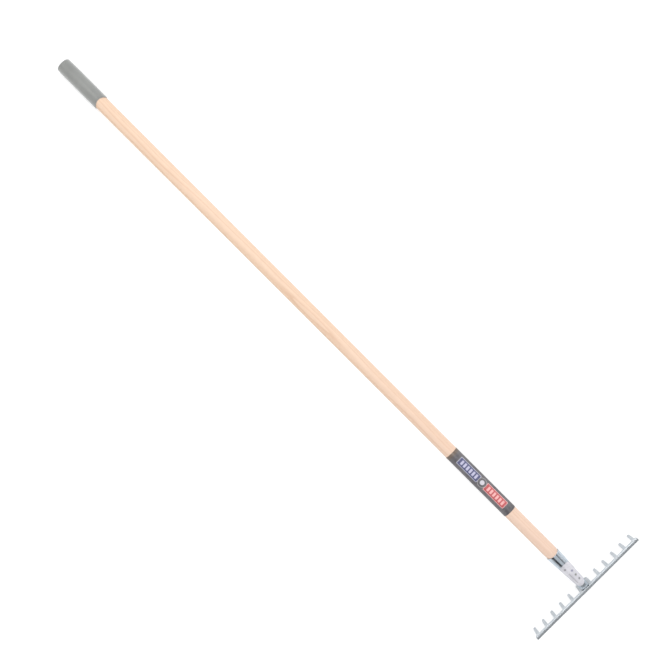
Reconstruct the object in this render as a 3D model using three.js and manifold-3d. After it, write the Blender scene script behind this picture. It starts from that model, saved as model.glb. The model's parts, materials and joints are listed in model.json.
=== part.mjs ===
// A long-handled garden rake, lying teeth down as it rests on level ground.
// Millimetres, +Z up, the handle along X with the toothed head towards +X.
// The origin is on the ground, under the middle of the rake's overall box.

import * as THREE from "three";
import { mergeVertices } from "three/addons/utils/BufferGeometryUtils.js";
import Module from "manifold-3d";

const wasm = await Module();
wasm.setup();

// ---- Driving dimensions ----------------------------------------------------

const GAP = 0.3; // clearance between neighbouring pieces

// Ash handle
const HANDLE_LENGTH = 1500;
const HANDLE_R = 14.5;
const HANDLE_END_R = 8.2; // flat at the thin end of the taper
const HANDLE_CHAMFER = 1.2;
const TAPER_RUN_IN = 8; // length over which the shaft drops to the socket's bore

// Grip sleeve over the top end of the handle
const GRIP_LENGTH = 110.6; // to the middle of its scalloped rim
const GRIP_WIDEST_R = 16.75;
const GRIP_RIM_R = 16.3;
const GRIP_END_WALL = 3;
const GRIP_CORNER_R = 4.5;
const GRIP_SHOULDER_R = 16;
const GRIP_SWELL_AT = 0.72; // power that sets where the sleeve is widest
const GRIP_RIM_LAND = 1;
const GRIP_RIM_ROUND = 0.5;
const GRIP_CONTACT = 12.5; // the sleeve touches the ground this far from its end
const GRIP_SCALLOP = 2.7; // the rim swings this far each way
const GRIP_SCALLOP_REACH = 30;

// Printed sleeve round the handle
const LABEL_START = 1127; // from the outer end of the grip
const LABEL_LENGTH = 170.2;
const LABEL_GAP = 0.2;
const LABEL_WALL = 0.3;

// Rolled socket, its neck and its tongue
const SOCKET_MOUTH = 1420.6; // from the outer end of the grip
const SOCKET_MOUTH_R = 15.65;
const SOCKET_TAPER = 0.0625; // radius lost per millimetre of length
const SOCKET_WALL = 1.5;
const SOCKET_CONE = 87.7; // crown length from the mouth to the bend
const SEAM_HALF_GAP = 0.7;
const NECK_CUT_START = 60; // where the underside starts to open, from the mouth
const NECK_WRAP = THREE.MathUtils.degToRad(71.5); // half wrap left at the bend
const MOUTH_ARCH = 1.5;
const MOUTH_ARCH_REACH = 22;
const BEND_R = 11;
const TONGUE_LENGTH = 5;
const TONGUE_HALF_WIDTH = 8;
const TONGUE_SECTION_R = 400; // all but flat where it lies on the head
const FLATTENED_BY = 0.95; // share of the bend over which the section opens out
const FLATTENING_POWER = 2; // it keeps its roundness at first

// Sticker on the socket
const STICKER_START = 29.3; // from the mouth, along the crown
const STICKER_LENGTH = 57.1;
const STICKER_HALF_ANGLE = THREE.MathUtils.degToRad(71);
const STICKER_GAP = 0.15;
const STICKER_WALL = 0.25;

// Pressed head
const TEETH = 12;
const TOOTH_PITCH = 25;
const BAR_LENGTH = 291;
const HEAD_HEIGHT = 58.5; // flange top to tooth tips
const WEB_HEIGHT = 9.5;
const SHEET = 3.2;
const TIP_SHEET = 2.6;
const FLANGE_DEPTH = 6.5;
const BEND_OUTER_R = 1.6;
const BEND_INNER_CUT = 0.5; // chamfer that stands for the inside of the bend
const FLANGE_LOWER_CUT = 0.4;
const FLANGE_EDGE_R = 1;
const TOOTH_ROOT_WIDTH = 7;
const TOOTH_TIP_WIDTH = 4.6;
const ROOT_FILLET = 3;
const BAR_CORNER_R = 2.1;
const BAR_END_DROP = 4.6; // height at which the bar's end turns in towards the last tooth

// Welds
const WELD_HALF_HEIGHT = 2.5;
const WELD_REACH = 2;

// Fixing screw, through the socket beside its seam
const SCREW_FROM_MOUTH = 26;
const SCREW_ANGLE = THREE.MathUtils.degToRad(150); // round from the crown
const SCREW_HEAD_R = 3.7;
const SCREW_HEAD_HEIGHT = 2;
const SCREW_SHANK_R = 1.9;
const SCREW_DEPTH = 13;
const SCREW_SLOT = 0.9;
const SCREW_POINT = 3;
const SCREW_DOME_R = 0.72; // shares of the head where its dome begins
const SCREW_DOME_HEIGHT = 0.9;

// How the pieces stand: the handle's axis meets the head this far below the flange top
const AXIS_BELOW_FLANGE = 2;

// Facets and steps that set how finely the curves are cut
const AROUND = 48; // round the handle, grip and label
const SCREW_FACETS = 20;
const GRIP_CORNER_STEPS = 5;
const GRIP_BODY_STEPS = 8;
const SOCKET_STEPS = { along: 34, round: 28 };
const STICKER_STEPS = { along: 11, round: 20 };
const CURVE_STEPS = 4;
const BEAD_FACETS = { round: 16, high: 12 };
const CUT_OVERLAP = 1; // how far a cutting block stands past what it cuts

// ---- Materials -------------------------------------------------------------

const ash = new THREE.MeshStandardMaterial({ color: 0xe8c9a6, roughness: 0.55, metalness: 0 });
const greyGrip = new THREE.MeshStandardMaterial({ color: 0x8f908c, roughness: 0.75, metalness: 0 });
const printedFilm = new THREE.MeshStandardMaterial({ color: 0x55555a, roughness: 0.35, metalness: 0 });
const galvanised = new THREE.MeshStandardMaterial({ color: 0xaab0b4, roughness: 0.35, metalness: 1 });
const paperSticker = new THREE.MeshStandardMaterial({ color: 0xd9d7e0, roughness: 0.5, metalness: 0 });
const weldMetal = new THREE.MeshStandardMaterial({ color: 0x8d9296, roughness: 0.5, metalness: 1 });
const screwSteel = new THREE.MeshStandardMaterial({ color: 0xb8bcc0, roughness: 0.3, metalness: 1 });

// ---- Geometry helpers ------------------------------------------------------

function toSolid(geometry) {
  const bare = geometry.clone();
  bare.deleteAttribute("normal");
  bare.deleteAttribute("uv");
  const merged = mergeVertices(bare, 1e-4);
  return new wasm.Manifold(
    new wasm.Mesh({
      numProp: 3,
      vertProperties: merged.attributes.position.array,
      triVerts: new Uint32Array(merged.index.array),
    }),
  );
}

function toGeometry(solid) {
  const mesh = solid.getMesh();
  const positions = new Float32Array(mesh.numVert * 3);
  for (let i = 0; i < mesh.numVert; i++) {
    const from = i * mesh.numProp;
    positions.set(mesh.vertProperties.subarray(from, from + 3), i * 3);
  }
  const geometry = new THREE.BufferGeometry();
  geometry.setAttribute("position", new THREE.BufferAttribute(positions, 3));
  geometry.setIndex(new THREE.BufferAttribute(new Uint32Array(mesh.triVerts), 1));
  geometry.computeVertexNormals();
  return geometry;
}

// Moves every vertex of a closed geometry by one rule, so it stays closed.
function bendBy(geometry, rule) {
  const position = geometry.attributes.position;
  const point = new THREE.Vector3();
  for (let i = 0; i < position.count; i++) {
    point.fromBufferAttribute(position, i);
    rule(point);
    position.setXYZ(i, point.x, point.y, point.z);
  }
  return geometry;
}

// A profile of [distance along the handle, radius] pairs, turned round the X axis.
function turned(profile, facets) {
  const points = profile.map(([along, radius]) => new THREE.Vector2(radius, along));
  return new THREE.LatheGeometry(points, facets).rotateZ(-Math.PI / 2);
}

function pieceOf(name, geometry, material) {
  const mesh = new THREE.Mesh(geometry, material);
  mesh.name = name;
  return mesh;
}

// ---- Handle, grip and label: X counts from the grip's outer end ------------

function socketRadius(fromMouth) {
  return SOCKET_MOUTH_R - SOCKET_TAPER * fromMouth;
}

function screwTool(radius, start, length) {
  const tool = new THREE.CylinderGeometry(radius, radius, length, SCREW_FACETS);
  tool.translate(0, start + length / 2, 0);
  return placeOnSocket(tool);
}

// Turns something built up the Y axis so that it stands out of the socket at the screw.
function placeOnSocket(geometry) {
  geometry.rotateX(Math.PI / 2 - SCREW_ANGLE);
  geometry.translate(SOCKET_MOUTH + SCREW_FROM_MOUTH, 0, 0);
  return geometry;
}

function makeHandle() {
  const start = GRIP_END_WALL + GAP;
  const end = start + HANDLE_LENGTH;
  const bore = (along) => socketRadius(along - SOCKET_MOUTH) - SOCKET_WALL - GAP;
  const profile = [
    [start, 0],
    [start, HANDLE_R - HANDLE_CHAMFER],
    [start + HANDLE_CHAMFER, HANDLE_R],
    [SOCKET_MOUTH - TAPER_RUN_IN, HANDLE_R],
    [SOCKET_MOUTH + GAP, bore(SOCKET_MOUTH)],
    [end - HANDLE_CHAMFER, bore(end - HANDLE_CHAMFER)],
    [end, HANDLE_END_R],
    [end, 0],
  ];
  const shaft = toSolid(turned(profile, AROUND));
  const bottom = socketRadius(SCREW_FROM_MOUTH) - SCREW_DEPTH - GAP;
  const pilot = screwTool(SCREW_SHANK_R + GAP, bottom, 2 * SCREW_DEPTH);
  return pieceOf("handle", toGeometry(shaft.subtract(toSolid(pilot))), ash);
}

function gripProfile() {
  const boreR = HANDLE_R + GAP;
  const profile = [[0, 0]];
  for (let i = 0; i <= GRIP_CORNER_STEPS; i++) {
    const turn = (i / GRIP_CORNER_STEPS) * (Math.PI / 2);
    const along = GRIP_CORNER_R * (1 - Math.cos(turn));
    profile.push([along, GRIP_SHOULDER_R - GRIP_CORNER_R * (1 - Math.sin(turn))]);
  }
  const belly = GRIP_LENGTH - GRIP_CORNER_R - GRIP_RIM_LAND;
  for (let i = 1; i <= GRIP_BODY_STEPS; i++) {
    const part = i / GRIP_BODY_STEPS;
    const swell = Math.sin(Math.PI * Math.pow(part, GRIP_SWELL_AT));
    const base = THREE.MathUtils.lerp(GRIP_SHOULDER_R, GRIP_RIM_R, part);
    profile.push([GRIP_CORNER_R + belly * part, base + (GRIP_WIDEST_R - GRIP_RIM_R) * swell]);
  }
  profile.push([GRIP_LENGTH, GRIP_RIM_R - GRIP_RIM_ROUND]);
  profile.push([GRIP_LENGTH, boreR]);
  profile.push([GRIP_END_WALL, boreR]);
  profile.push([GRIP_END_WALL, 0]);
  return profile;
}

function makeGrip() {
  const sleeve = turned(gripProfile(), AROUND);
  bendBy(sleeve, (p) => {
    const near = THREE.MathUtils.clamp((p.x - GRIP_LENGTH + GRIP_SCALLOP_REACH) / GRIP_SCALLOP_REACH, 0, 1);
    const round = Math.atan2(p.y, p.z);
    p.x -= GRIP_SCALLOP * near * Math.cos(2 * round);
  });
  return pieceOf("end_grip", sleeve, greyGrip);
}

function makeLabel() {
  const inner = HANDLE_R + LABEL_GAP;
  const outer = inner + LABEL_WALL;
  const end = LABEL_START + LABEL_LENGTH;
  const ring = [
    [LABEL_START, inner],
    [LABEL_START, outer],
    [end, outer],
    [end, inner],
    [LABEL_START, inner],
  ];
  return pieceOf("handle_label", turned(ring, AROUND), printedFilm);
}

// ---- Socket: one blank rolled into a cone, its tongue bent down --------------

const CONE_FALL = Math.atan(SOCKET_TAPER);

// Direction and place of the crown line at a distance along it from the mouth.
function crownAt(along, bendTo) {
  const straight = Math.min(along, SOCKET_CONE);
  const bendLength = BEND_R * (bendTo - CONE_FALL);
  const inBend = THREE.MathUtils.clamp(along - SOCKET_CONE, 0, bendLength);
  const fall = CONE_FALL + inBend / BEND_R;
  const past = Math.max(0, along - SOCKET_CONE - bendLength);
  const x = straight * Math.cos(CONE_FALL) + BEND_R * (Math.sin(fall) - Math.sin(CONE_FALL));
  const z = -straight * Math.sin(CONE_FALL) - BEND_R * (Math.cos(CONE_FALL) - Math.cos(fall));
  return {
    x: SOCKET_MOUTH + x + past * Math.cos(fall),
    z: SOCKET_MOUTH_R + z - past * Math.sin(fall),
    fall,
  };
}

// Section of the blank: its bending radius and half its width, measured round the arc.
function sectionAt(along, bendTo) {
  const coneR = socketRadius(along * Math.cos(CONE_FALL));
  const bendLength = BEND_R * (bendTo - CONE_FALL);
  if (along <= SOCKET_CONE) {
    const fullWrap = Math.PI - SEAM_HALF_GAP / coneR;
    const opening = THREE.MathUtils.smoothstep(along, NECK_CUT_START, SOCKET_CONE);
    const wrap = THREE.MathUtils.lerp(fullWrap, NECK_WRAP, opening);
    return { radius: coneR, half: coneR * wrap };
  }
  const flattening = Math.min(1, (along - SOCKET_CONE) / (FLATTENED_BY * bendLength));
  const neckR = socketRadius(SOCKET_CONE * Math.cos(CONE_FALL));
  const opened = Math.pow(flattening, FLATTENING_POWER);
  const curvature = THREE.MathUtils.lerp(1 / neckR, 1 / TONGUE_SECTION_R, opened);
  const neckHalf = neckR * NECK_WRAP;
  return { radius: 1 / curvature, half: THREE.MathUtils.lerp(neckHalf, TONGUE_HALF_WIDTH, flattening) };
}

// A point of the rolled sheet: along the crown, round its section, and lifted off its outside.
function rolledPoint(point, along, round, lift, bendTo) {
  const crown = crownAt(along, bendTo);
  const { radius } = sectionAt(along, bendTo);
  const angle = round / radius;
  const out = (radius + lift) * Math.cos(angle) - radius;
  // Square to the handle's axis on the cone, square to the crown line from the neck on.
  const tilt = crown.fall * THREE.MathUtils.smoothstep(along, NECK_CUT_START, SOCKET_CONE);
  point.set(
    crown.x + out * Math.sin(tilt),
    (radius + lift) * Math.sin(angle),
    crown.z + out * Math.cos(tilt),
  );
}

function makeSocket(bendTo) {
  const length = SOCKET_CONE + BEND_R * (bendTo - CONE_FALL) + TONGUE_LENGTH;
  const blank = new THREE.BoxGeometry(1, 2, 1, SOCKET_STEPS.along, SOCKET_STEPS.round, 1);
  const rolled = bendBy(blank, (p) => {
    const part = p.x + 0.5;
    const along = part * length;
    const half = sectionAt(along, bendTo).half;
    const round = p.y * half;
    const arch = MOUTH_ARCH * (1 + Math.cos(2 * p.y * Math.PI));
    const near = Math.max(0, 1 - along / MOUTH_ARCH_REACH);
    rolledPoint(p, along + arch * near, round, (p.z - 0.5) * SOCKET_WALL, bendTo);
  });
  const hole = screwTool(SCREW_SHANK_R + GAP, 0, 2 * SOCKET_MOUTH_R);
  return pieceOf("socket", toGeometry(toSolid(rolled).subtract(toSolid(hole))), galvanised);
}

function makeSticker(bendTo) {
  const patch = new THREE.BoxGeometry(1, 2, 1, STICKER_STEPS.along, STICKER_STEPS.round, 1);
  bendBy(patch, (p) => {
    const along = STICKER_START + (p.x + 0.5) * STICKER_LENGTH;
    const round = p.y * STICKER_HALF_ANGLE * socketRadius(along);
    const lift = STICKER_GAP + (p.z + 0.5) * STICKER_WALL;
    rolledPoint(p, along, round, lift, bendTo);
  });
  return pieceOf("socket_sticker", patch, paperSticker);
}

function makeScrew() {
  const seat = socketRadius(SCREW_FROM_MOUTH) + GAP;
  const tip = seat - SCREW_DEPTH;
  const outline = [
    [0, tip],
    [SCREW_SHANK_R, tip + SCREW_POINT],
    [SCREW_SHANK_R, seat],
    [SCREW_HEAD_R, seat],
    [SCREW_HEAD_R, seat + 0.5 * SCREW_HEAD_HEIGHT],
    [SCREW_DOME_R * SCREW_HEAD_R, seat + SCREW_DOME_HEIGHT * SCREW_HEAD_HEIGHT],
    [0, seat + SCREW_HEAD_HEIGHT],
  ];
  const body = new THREE.LatheGeometry(outline.map(([r, up]) => new THREE.Vector2(r, up)), SCREW_FACETS);
  const top = seat + SCREW_HEAD_HEIGHT;
  const slot = new THREE.BoxGeometry(3 * SCREW_HEAD_R, SCREW_SLOT * 2, SCREW_SLOT);
  slot.translate(0, top, 0);
  const cut = toSolid(body).subtract(toSolid(slot));
  return pieceOf("fixing_screw", placeOnSocket(toGeometry(cut)), screwSteel);
}

// ---- Head: X counts from the web's handle side, Z from the ground -----------

// L-section of the pressed sheet, tapering down the teeth, pulled along the bar.
function sectionBlock() {
  const top = HEAD_HEIGHT;
  const shape = new THREE.Shape();
  shape.moveTo(0, 0);
  shape.lineTo(TIP_SHEET, 0);
  shape.lineTo(SHEET, top - WEB_HEIGHT);
  shape.lineTo(SHEET, top - SHEET - BEND_INNER_CUT);
  shape.lineTo(SHEET + BEND_INNER_CUT, top - SHEET);
  shape.lineTo(FLANGE_DEPTH - FLANGE_LOWER_CUT, top - SHEET);
  shape.lineTo(FLANGE_DEPTH, top - SHEET + FLANGE_LOWER_CUT);
  shape.lineTo(FLANGE_DEPTH, top - FLANGE_EDGE_R);
  shape.absarc(FLANGE_DEPTH - FLANGE_EDGE_R, top - FLANGE_EDGE_R, FLANGE_EDGE_R, 0, Math.PI / 2);
  shape.absarc(BEND_OUTER_R, top - BEND_OUTER_R, BEND_OUTER_R, Math.PI / 2, Math.PI);
  const block = new THREE.ExtrudeGeometry(shape, {
    depth: BAR_LENGTH + 2 * CUT_OVERLAP,
    bevelEnabled: false,
    curveSegments: CURVE_STEPS,
  });
  block.translate(0, 0, -BAR_LENGTH / 2 - CUT_OVERLAP);
  return block.rotateX(Math.PI / 2);
}

// Outline of bar and teeth seen from the handle: across is Y, up is Z.
function combOutline() {
  const shape = new THREE.Shape();
  const root = HEAD_HEIGHT - WEB_HEIGHT;
  const end = BAR_LENGTH / 2;
  const tipR = TOOTH_TIP_WIDTH / 2;
  const halfRoot = TOOTH_ROOT_WIDTH / 2;
  const shoulder = HEAD_HEIGHT - BAR_END_DROP;
  shape.moveTo(-end, HEAD_HEIGHT + CUT_OVERLAP);
  shape.lineTo(-end, shoulder);
  for (let i = 0; i < TEETH; i++) {
    const centre = (i - (TEETH - 1) / 2) * TOOTH_PITCH;
    const left = centre - halfRoot;
    const right = centre + halfRoot;
    if (i === 0) {
      shape.quadraticCurveTo(-end, root, left, root - ROOT_FILLET);
    } else {
      shape.lineTo(left - ROOT_FILLET, root);
      shape.quadraticCurveTo(left, root, left, root - ROOT_FILLET);
    }
    shape.lineTo(centre - tipR, tipR);
    shape.absarc(centre, tipR, tipR, Math.PI, 2 * Math.PI);
    shape.lineTo(right, root - ROOT_FILLET);
    if (i === TEETH - 1) {
      shape.quadraticCurveTo(end, root, end, shoulder);
    } else {
      shape.quadraticCurveTo(right, root, right + ROOT_FILLET, root);
    }
  }
  shape.lineTo(end, HEAD_HEIGHT + CUT_OVERLAP);
  return shape;
}

function combBlock() {
  const block = new THREE.ExtrudeGeometry(combOutline(), {
    depth: FLANGE_DEPTH + 2 * CUT_OVERLAP,
    bevelEnabled: false,
    curveSegments: CURVE_STEPS,
  });
  block.rotateX(Math.PI / 2);
  block.rotateZ(Math.PI / 2);
  block.translate(-CUT_OVERLAP, 0, 0);
  return block;
}

// Rounded ends of the bar seen from above.
function planBlock() {
  const half = BAR_LENGTH / 2;
  const r = BAR_CORNER_R;
  const shape = new THREE.Shape();
  shape.absarc(FLANGE_DEPTH - r, half - r, r, 0, Math.PI / 2);
  shape.absarc(r, half - r, r, Math.PI / 2, Math.PI);
  shape.absarc(r, r - half, r, Math.PI, 1.5 * Math.PI);
  shape.absarc(FLANGE_DEPTH - r, r - half, r, 1.5 * Math.PI, 2 * Math.PI);
  const block = new THREE.ExtrudeGeometry(shape, {
    depth: HEAD_HEIGHT + 2 * CUT_OVERLAP,
    bevelEnabled: false,
    curveSegments: CURVE_STEPS,
  });
  return block.translate(0, 0, -CUT_OVERLAP);
}

function makeHead() {
  const pressed = toSolid(sectionBlock()).intersect(toSolid(combBlock()));
  return pieceOf("rake_head", toGeometry(pressed.intersect(toSolid(planBlock()))), galvanised);
}

// A quarter-round bead in the corner between the tongue's edge and the web.
function makeWeld(name, side, middle) {
  const bead = new THREE.SphereGeometry(1, BEAD_FACETS.round, BEAD_FACETS.high);
  bead.scale(WELD_REACH, WELD_REACH, WELD_HALF_HEIGHT);
  const corner = side * (TONGUE_HALF_WIDTH + GAP);
  bead.translate(-GAP, corner, middle);
  const size = 4 * WELD_HALF_HEIGHT;
  const web = new THREE.BoxGeometry(size, size, size).translate(size / 2 - GAP, corner, middle);
  const tongue = new THREE.BoxGeometry(size, size, size).translate(0, corner - (side * size) / 2, middle);
  const cut = toSolid(bead).subtract(toSolid(web)).subtract(toSolid(tongue));
  return pieceOf(name, toGeometry(cut), weldMetal);
}

// ---- Assembly ----------------------------------------------------------------

// The head stands upright on its tips, and the handle falls away to rest on the grip.
const axisHeight = HEAD_HEIGHT - AXIS_BELOW_FLANGE;
const quarterTurn = Math.PI / 2;
const reachOfBend = BEND_R * (1 - Math.sin(CONE_FALL));
const axisReach = SOCKET_MOUTH + SOCKET_CONE * Math.cos(CONE_FALL) + reachOfBend + GAP;
const slope = Math.asin((axisHeight - GRIP_RIM_R) / (axisReach - GRIP_CONTACT));
const bendTo = quarterTurn + slope;

const shaft = new THREE.Group();
shaft.add(makeHandle(), makeGrip(), makeLabel(), makeSocket(bendTo), makeSticker(bendTo), makeScrew());
shaft.rotation.y = -slope;

// The web's face stands one gap beyond the tongue, which is flat and upright there.
const tongueTop = crownAt(SOCKET_CONE + BEND_R * (bendTo - CONE_FALL), bendTo);
const contact = new THREE.Vector3(tongueTop.x, 0, tongueTop.z).applyEuler(shaft.rotation);
const axisAtHead = new THREE.Vector3(axisReach, 0, 0).applyEuler(shaft.rotation);
shaft.position.set(-GAP - contact.x, 0, axisHeight - axisAtHead.z);

const tongueEnd = contact.z + shaft.position.z - TONGUE_LENGTH;
const weldMiddle = tongueEnd + WELD_HALF_HEIGHT;
const head = new THREE.Group();
head.add(makeHead(), makeWeld("weld_left", 1, weldMiddle), makeWeld("weld_right", -1, weldMiddle));

const rake = new THREE.Group();
rake.add(shaft, head);

const placed = new THREE.Group();
placed.add(rake);
const box = new THREE.Box3().setFromObject(placed, true);
const middle = box.getCenter(new THREE.Vector3());
rake.position.set(-middle.x, -middle.y, -box.min.z);

export default placed;
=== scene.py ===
# %% [markdown]
# # A long-handled garden rake
#
# We dress a measured model of a rake: an ash handle, a grey grip sleeve, a printed film sleeve,
# a rolled steel socket with a sticker, and a pressed steel head with twelve teeth.
# The measured model fixes every size. Blender adds the surfaces that the eye wants: soft edges,
# wood grain, zinc, print and weld ripples.

# %% Load the measured model
import json
import math

import bmesh
import bpy
from mathutils import Matrix, Vector


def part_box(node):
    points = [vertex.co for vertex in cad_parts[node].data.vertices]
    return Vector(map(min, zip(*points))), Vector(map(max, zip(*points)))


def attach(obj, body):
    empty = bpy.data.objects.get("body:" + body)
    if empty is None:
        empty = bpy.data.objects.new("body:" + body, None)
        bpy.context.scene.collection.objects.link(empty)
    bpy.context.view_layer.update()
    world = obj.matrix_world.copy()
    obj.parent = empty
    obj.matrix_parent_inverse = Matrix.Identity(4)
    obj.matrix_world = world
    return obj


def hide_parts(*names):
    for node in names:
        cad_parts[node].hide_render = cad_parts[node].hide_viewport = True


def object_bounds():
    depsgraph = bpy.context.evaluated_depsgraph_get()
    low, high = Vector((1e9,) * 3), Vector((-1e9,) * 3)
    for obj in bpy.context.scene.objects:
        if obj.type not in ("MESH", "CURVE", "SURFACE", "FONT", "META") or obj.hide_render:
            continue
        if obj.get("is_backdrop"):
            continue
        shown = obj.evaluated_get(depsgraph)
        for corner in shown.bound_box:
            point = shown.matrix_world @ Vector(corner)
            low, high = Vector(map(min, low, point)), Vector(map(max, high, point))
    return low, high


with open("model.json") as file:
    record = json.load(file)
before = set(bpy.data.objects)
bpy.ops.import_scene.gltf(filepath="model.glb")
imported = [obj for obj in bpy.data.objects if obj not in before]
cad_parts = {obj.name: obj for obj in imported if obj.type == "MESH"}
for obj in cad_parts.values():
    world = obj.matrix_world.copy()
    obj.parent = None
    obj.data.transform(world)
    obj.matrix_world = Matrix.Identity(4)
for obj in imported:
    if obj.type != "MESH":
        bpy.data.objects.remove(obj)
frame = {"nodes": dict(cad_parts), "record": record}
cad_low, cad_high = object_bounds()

MM = 0.001
print("measured box:", [round(v, 4) for v in cad_low], [round(v, 4) for v in cad_high])

# %% [markdown]
# ## Working along the handle
#
# The rake lies on its tooth tips and its grip, so the handle slopes a little. It is far easier to
# model the round pieces along a straight line and turn them into place at the end.
# The grip's end face is a named mount: its position and normal give us that line exactly, so
# no angle has to be typed in.

# %% The handle's own directions
grip_mount = next(m for m in frame["record"]["mounts"] if m["name"] == "grip_end")
HANDLE_START = Vector(grip_mount["pos_m"])
ALONG = -Vector(grip_mount["axis"]).normalized()
ACROSS = Vector((0, 1, 0))
UP = ALONG.cross(ACROSS)
SLOPE = math.atan2(ALONG.z, ALONG.x)
TO_WORLD = Matrix((ALONG, ACROSS, UP)).transposed().to_4x4()
TO_WORLD.translation = HANDLE_START
TO_HANDLE = TO_WORLD.inverted()


def span(node):
    """First and last place of a CAD node along the handle, and its largest radius, in metres."""
    points = [TO_HANDLE @ v.co for v in frame["nodes"][node].data.vertices]
    along = [p.x for p in points]
    return min(along), max(along), max(math.hypot(p.y, p.z) for p in points)


for node in ("handle", "end_grip", "handle_label", "socket", "socket_sticker"):
    first, last, radius = span(node)
    print(f"{node}: {first / MM:.1f} to {last / MM:.1f} mm, radius {radius / MM:.2f} mm")

# %% [markdown]
# ## Camera
#
# The camera looks square onto the handle from above, turned so that the rake runs corner to
# corner. A long lens from far away keeps the handle's width almost constant, and still lets us
# see the fronts of the teeth, because the head is well off the middle of the picture.

# %% Camera
CAMERA_HEIGHT = 2.667
CAMERA_FOOT = Vector((0.7607, 0.0387))
CAMERA_AIM = Vector((0.7595, 0.0021))
CAMERA_LENS = 72.05
CAMERA_SENSOR = 36.0
DIAGONAL = math.radians(-45.0)

eye = TO_WORLD @ Vector((CAMERA_FOOT.x, CAMERA_FOOT.y, CAMERA_HEIGHT))
target = TO_WORLD @ Vector((CAMERA_AIM.x, CAMERA_AIM.y, 0))
backward = (eye - target).normalized()
right = (ALONG - backward * ALONG.dot(backward)).normalized()
above = backward.cross(right)
turn = Matrix.Rotation(-DIAGONAL, 3, backward)
axes = Matrix((turn @ right, turn @ above, backward)).transposed()
camera_data = bpy.data.cameras.new("studio_camera")
camera_data.lens = CAMERA_LENS
camera_data.sensor_width = CAMERA_SENSOR
camera = bpy.data.objects.new("studio_camera", camera_data)
camera.matrix_world = Matrix.Translation(eye) @ axes.to_4x4()
bpy.context.scene.collection.objects.link(camera)
bpy.context.scene.camera = camera
print("camera at", [round(v, 3) for v in eye])

# %% [markdown]
# ## Floor and light
#
# A pale floor that glows slightly gives the bright, almost shadowless look of a product table.
# Round polished metal shows what stands around it, so the lights are long boxes beside the
# handle. Two dark cards between them, hidden from the camera, draw the dark lines that make a
# shiny cone look round, and a grey one over the head keeps the top of its flange darker than
# its web. A world that was white all over would leave the metal flat.

# %% Floor, lights and dark cards
FLOOR_SIZE = 14.0
FLOOR_DROP = 0.0006
FLOOR_GLOW = 0.30
FLOOR_WHITE = (0.86, 0.86, 0.86, 1)
WORLD_GREY = (0.59, 0.60, 0.61, 1)
SCENE = bpy.context.scene
# name, place, long and short side, watts, aim
LIGHT_BOXES = (
    ("left_box", (-0.3, -2.6, 1.2), (3.6, 1.2), 17, (0, 0, 0)),
    ("right_box", (-0.3, 2.6, 1.2), (3.6, 1.2), 26, (0, 0, 0)),
    ("top_box", (-0.72, 0.25, 3.0), (3.2, 1.6), 52, (-0.05, 0, 0)),
)
# name, angle from straight up, distance, width, length, middle along X, grey
DARK_CARDS = (
    ("card_left", -46, 1.3, 0.95, 3.4, 0.9, 0.02),
    ("card_right", 33, 1.3, 0.30, 3.4, 0.9, 0.05),
)
HEAD_CARD = [(0.765, -0.3, 0.2), (1.2, -0.3, 0.2), (1.2, 0.3, 0.2), (0.765, 0.3, 0.2)]
HEAD_CARD_GREY = 0.36


def plain_sheet(name, corners):
    """A flat four-cornered sheet, used for the floor and the cards."""
    mesh = bpy.data.meshes.new(name)
    mesh.from_pydata(corners, [], [(0, 1, 2, 3)])
    sheet = bpy.data.objects.new(name, mesh)
    SCENE.collection.objects.link(sheet)
    sheet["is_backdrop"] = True
    return sheet


def make_floor():
    half = FLOOR_SIZE / 2
    z = cad_low.z - FLOOR_DROP
    floor = plain_sheet("floor", [(-half, -half, z), (half, -half, z), (half, half, z), (-half, half, z)])
    material = bpy.data.materials.new("pale_floor")
    material.use_nodes = True
    shader = material.node_tree.nodes["Principled BSDF"]
    shader.inputs["Base Color"].default_value = FLOOR_WHITE
    shader.inputs["Roughness"].default_value = 0.9
    shader.inputs["Emission Color"].default_value = (1, 1, 1, 1)
    seen = material.node_tree.nodes.new("ShaderNodeLightPath")
    glow = material.node_tree.nodes.new("ShaderNodeMath")
    glow.operation = "MULTIPLY"
    glow.inputs[1].default_value = FLOOR_GLOW
    material.node_tree.links.new(seen.outputs["Is Camera Ray"], glow.inputs[0])
    material.node_tree.links.new(glow.outputs[0], shader.inputs["Emission Strength"])
    floor.data.materials.append(material)


def light_box(name, place, size, power, aim):
    """A rectangular soft light, long side along X, facing a point."""
    data = bpy.data.lights.new(name, "AREA")
    data.shape = "RECTANGLE"
    data.size, data.size_y = size
    data.energy = power
    light = bpy.data.objects.new(name, data)
    facing = (Vector(place) - Vector(aim)).normalized()
    side = Vector((1, 0, 0))
    up = facing.cross(side).normalized()
    side = up.cross(facing)
    light.matrix_world = Matrix.Translation(place) @ Matrix((side, up, facing)).transposed().to_4x4()
    SCENE.collection.objects.link(light)


def reflected_card(name, corners, grey):
    """A card that only shows up in reflections."""
    card = plain_sheet(name, corners)
    card.visible_camera = False
    card.visible_diffuse = False
    card.visible_shadow = False
    material = bpy.data.materials.new(name)
    material.use_nodes = True
    material.node_tree.nodes["Principled BSDF"].inputs["Base Color"].default_value = (grey, grey, grey, 1)
    card.data.materials.append(material)


def dark_card(name, angle, distance, width, length, centre_x, grey):
    """A dark strip beside the handle, parallel to it."""
    a = math.radians(angle)
    out = Vector((0, math.sin(a), math.cos(a)))
    flat = Vector((0, math.cos(a), -math.sin(a)))
    middle = out * distance + Vector((centre_x, 0, 0.06))
    run = Vector((length / 2, 0, 0))
    half = flat * width / 2
    corners = [middle - run - half, middle + run - half, middle + run + half, middle - run + half]
    reflected_card(name, corners, grey)


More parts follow.
